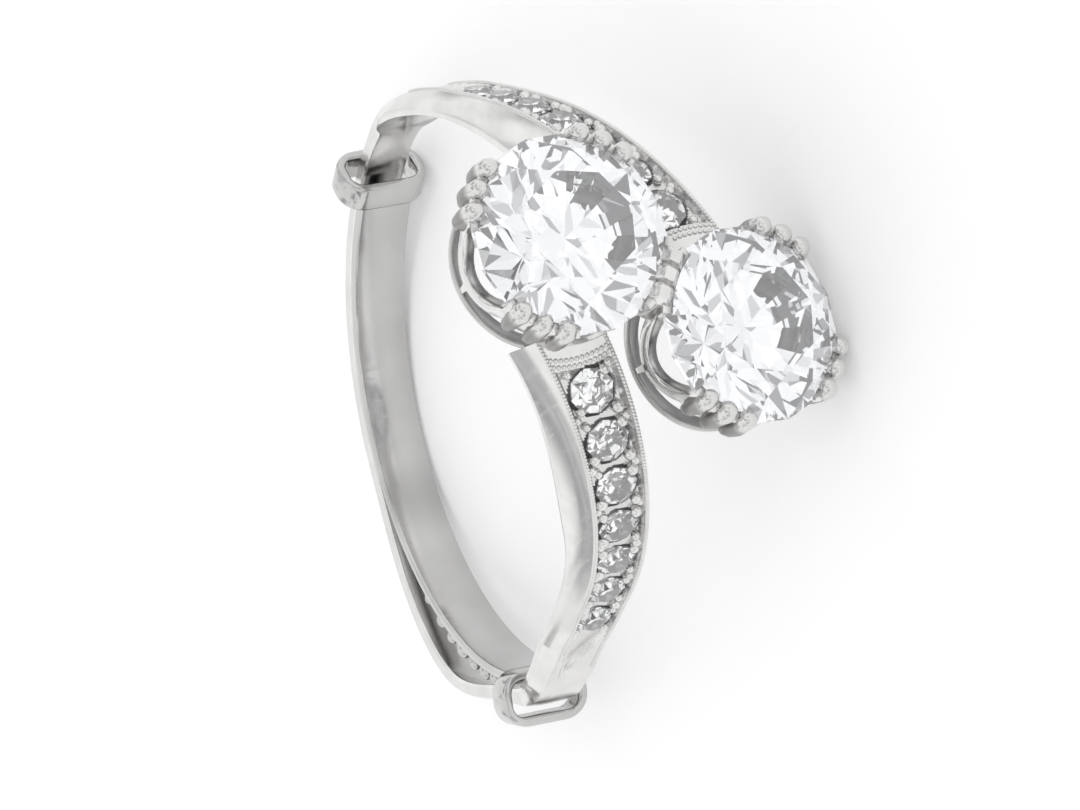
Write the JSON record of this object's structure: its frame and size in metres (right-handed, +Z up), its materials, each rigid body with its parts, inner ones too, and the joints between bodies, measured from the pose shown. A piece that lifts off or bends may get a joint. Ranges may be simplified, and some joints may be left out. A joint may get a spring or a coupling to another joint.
{
  "type": "toi et moi ring",
  "caption": "Toi et moi crossover ring with paired round stones in claw collets, stone-set tapering shoulders and a ring clip inside the shank.",
  "frame": {"origin": "middle of the ring's outline on the surface it lies on", "axes": "+Z up from the surface the ring lies on; the head with the main stones points along -Y; the back shoulder is on the +X side and the front shoulder on the -X side"},
  "size_m": [0.0196, 0.0238, 0.0114],
  "materials": {
    "mount_metal": "polished white metal with fine wear",
    "clip_metal": "polished white metal, a little duller, with fine wear",
    "diamond": "clear cut stone",
    "small_diamond": "clear cut small stone"
  },
  "bodies": {
    "root": {"ring_mount": "mount_metal", "ring_clip": "clip_metal", "stone_left": "diamond", "stone_right": "diamond", "small_front_1": "small_diamond", "small_front_2": "small_diamond", "small_front_3": "small_diamond", "small_front_4": "small_diamond", "small_front_5": "small_diamond", "small_front_6": "small_diamond", "small_front_7": "small_diamond", "small_back_1": "small_diamond", "small_back_2": "small_diamond", "small_back_3": "small_diamond", "small_back_4": "small_diamond", "small_back_5": "small_diamond", "small_back_6": "small_diamond", "small_back_7": "small_diamond"}
  },
  "joints": []
}
